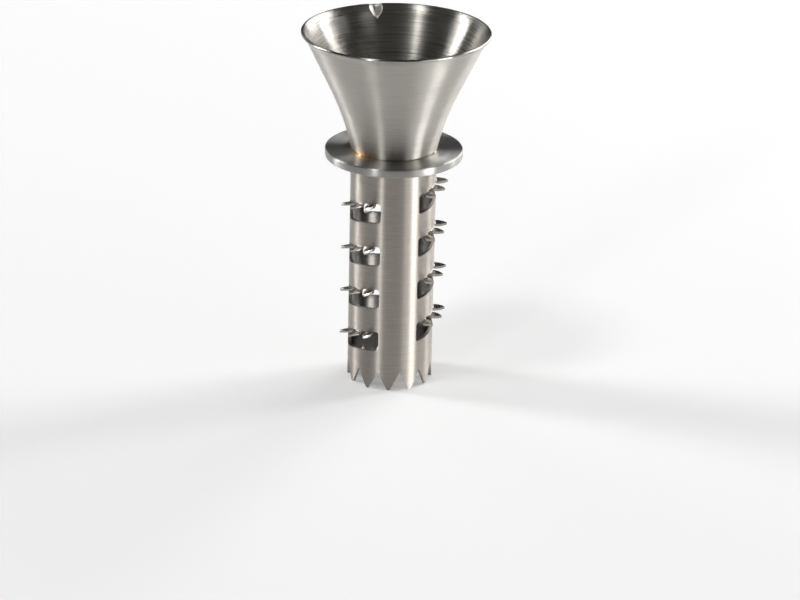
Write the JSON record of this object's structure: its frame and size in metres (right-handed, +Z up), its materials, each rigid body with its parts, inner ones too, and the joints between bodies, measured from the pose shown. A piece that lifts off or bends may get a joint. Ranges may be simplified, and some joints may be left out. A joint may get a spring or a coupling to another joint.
{
  "type": "citrus press",
  "caption": "Screw-in citrus spout press: toothed steel tube with windows on a helix, round stop collar and pouring funnel with a small lip.",
  "frame": {"origin": "on the tube's axis, in the plane of the crown tips that the press stands on", "axes": "+Z up along the tube towards the funnel, +Y towards the pouring lip"},
  "size_m": [0.0438, 0.0444, 0.0854],
  "materials": {
    "tube_steel": "satin",
    "turned_steel": "turned and brushed",
    "weld_metal": "heat tinted weld"
  },
  "bodies": {
    "root": {"press_tube": "tube_steel", "collar": "turned_steel", "collar_weld": "weld_metal", "funnel": "turned_steel", "tack_welds": "weld_metal"}
  },
  "joints": []
}
